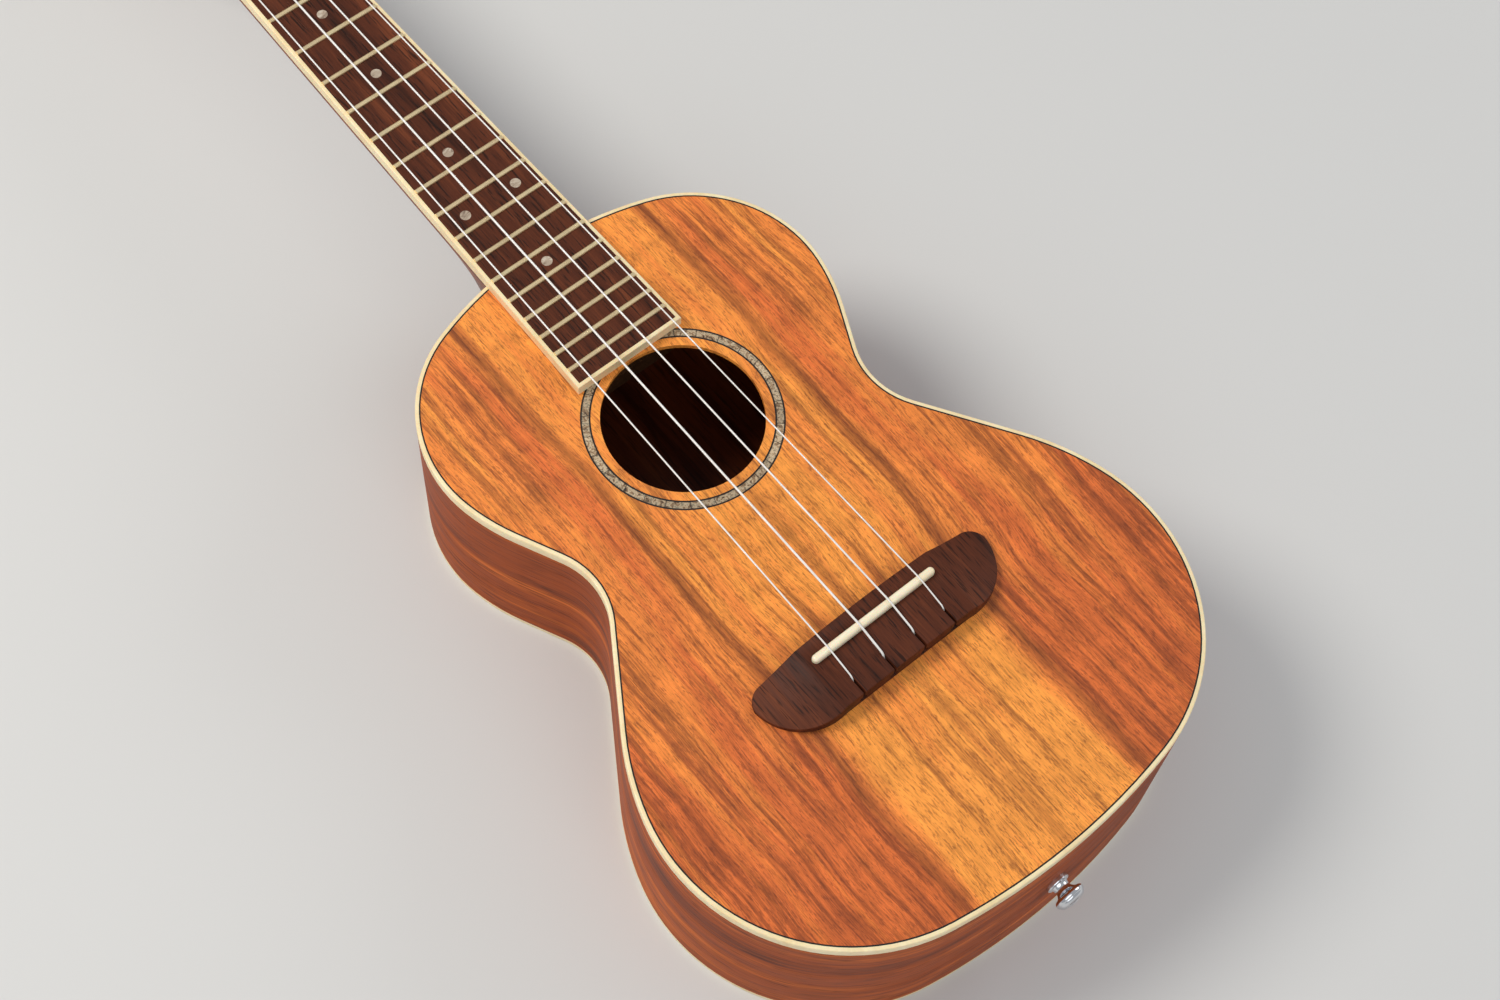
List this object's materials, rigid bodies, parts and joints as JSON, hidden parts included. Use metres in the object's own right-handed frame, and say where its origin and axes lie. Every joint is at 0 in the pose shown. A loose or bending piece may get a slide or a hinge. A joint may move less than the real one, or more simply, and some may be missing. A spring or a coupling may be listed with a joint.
{
  "type": "ukulele",
  "caption": "Tenor ukulele with a bound figure-eight body, round sound hole, fretted neck, slotted bridge, nylon strings and worm-geared tuning machines that turn.",
  "frame": {"origin": "on the plane of the flat back, under the middle of the whole instrument", "axes": "+X along the neck from the headstock to the tail, +Y to the treble side, +Z out of the soundboard"},
  "size_m": [0.686, 0.2242, 0.0893],
  "materials": {
    "koa_top": "satin gloss, straight-grained",
    "koa_side": "satin gloss",
    "koa_back": "satin gloss",
    "mahogany": "satin",
    "rosewood": "oiled, open pores",
    "cream_binding": "polished",
    "black_purfling": "polished",
    "abalone": "polished shell",
    "pearl": "polished shell",
    "bone": "polished",
    "fret_wire": "polished nickel silver",
    "spruce": "bare",
    "dowel": "bare",
    "nylon": "clear, smooth",
    "chrome": "polished",
    "steel": "bright",
    "brass_gear": "bright",
    "cream_button": "polished"
  },
  "bodies": {
    "root": {"soundboard": "koa_top", "bass_side": "koa_side", "treble_side": "koa_side", "back_plate": "koa_back", "neck": "mahogany", "neck_block": "mahogany", "tail_block": "mahogany", "fingerboard": "rosewood", "bridge": "rosewood", "headstock_veneer": "rosewood", "heel_cap": "rosewood", "top_binding": "cream_binding", "back_binding": "cream_binding", "fingerboard_binding": "cream_binding", "top_purfling": "black_purfling", "rosette_lines": "black_purfling", "rosette_inlay": "abalone", "position_dots": "pearl", "nut": "bone", "saddle": "bone", "frets": "fret_wire", "top_linings": "spruce", "back_linings": "spruce", "top_cross_braces": "spruce", "fan_braces": "spruce", "bridge_patch": "spruce", "back_braces": "spruce", "neck_dowels": "dowel", "string_g": "nylon", "string_c": "nylon", "string_e": "nylon", "string_a": "nylon", "strap_button": "chrome", "strap_button_screw": "chrome", "tuner_bushings": "chrome", "tuner_screws": "chrome", "tuner_housing_g": "chrome", "tuner_housing_c": "chrome", "tuner_housing_e": "chrome", "tuner_housing_a": "chrome"},
    "knob_g": {"tuner_knob_g": "cream_button", "tuner_worm_g": "steel"},
    "post_g": {"tuner_post_g": "chrome", "tuner_gear_g": "brass_gear", "string_wrap_g": "nylon"},
    "knob_c": {"tuner_knob_c": "cream_button", "tuner_worm_c": "steel"},
    "post_c": {"tuner_post_c": "chrome", "tuner_gear_c": "brass_gear", "string_wrap_c": "nylon"},
    "knob_e": {"tuner_knob_e": "cream_button", "tuner_worm_e": "steel"},
    "post_e": {"tuner_post_e": "chrome", "tuner_gear_e": "brass_gear", "string_wrap_e": "nylon"},
    "knob_a": {"tuner_knob_a": "cream_button", "tuner_worm_a": "steel"},
    "post_a": {"tuner_post_a": "chrome", "tuner_gear_a": "brass_gear", "string_wrap_a": "nylon"}
  },
  "joints": [
    {"name": "knob_turn_g", "type": "hinge", "parent": "root", "child": "knob_g", "pos_m": [-0.26436, -0.0165, 0.04944], "axis": [0, -1, 0], "continuous": true},
    {"name": "post_turn_g", "type": "hinge", "parent": "root", "child": "post_g", "pos_m": [-0.262, -0.0165, 0.0663], "axis": [-0.225, 0, 0.9744], "continuous": true},
    {"name": "knob_turn_c", "type": "hinge", "parent": "root", "child": "knob_c", "pos_m": [-0.30918, -0.0165, 0.03909], "axis": [0, -1, 0], "continuous": true},
    {"name": "post_turn_c", "type": "hinge", "parent": "root", "child": "post_c", "pos_m": [-0.30682, -0.0165, 0.05595], "axis": [-0.225, 0, 0.9744], "continuous": true},
    {"name": "knob_turn_e", "type": "hinge", "parent": "root", "child": "knob_e", "pos_m": [-0.30918, 0.0165, 0.03909], "axis": [0, 1, 0], "continuous": true},
    {"name": "post_turn_e", "type": "hinge", "parent": "root", "child": "post_e", "pos_m": [-0.30682, 0.0165, 0.05595], "axis": [-0.225, 0, 0.9744], "continuous": true},
    {"name": "knob_turn_a", "type": "hinge", "parent": "root", "child": "knob_a", "pos_m": [-0.26436, 0.0165, 0.04944], "axis": [0, 1, 0], "continuous": true},
    {"name": "post_turn_a", "type": "hinge", "parent": "root", "child": "post_a", "pos_m": [-0.262, 0.0165, 0.0663], "axis": [-0.225, 0, 0.9744], "continuous": true}
  ],
  "couplings": [
    {"joint": "post_turn_g", "follows": "knob_turn_g", "ratio": -0.071429},
    {"joint": "post_turn_c", "follows": "knob_turn_c", "ratio": -0.071429},
    {"joint": "post_turn_e", "follows": "knob_turn_e", "ratio": 0.071429},
    {"joint": "post_turn_a", "follows": "knob_turn_a", "ratio": 0.071429}
  ]
}
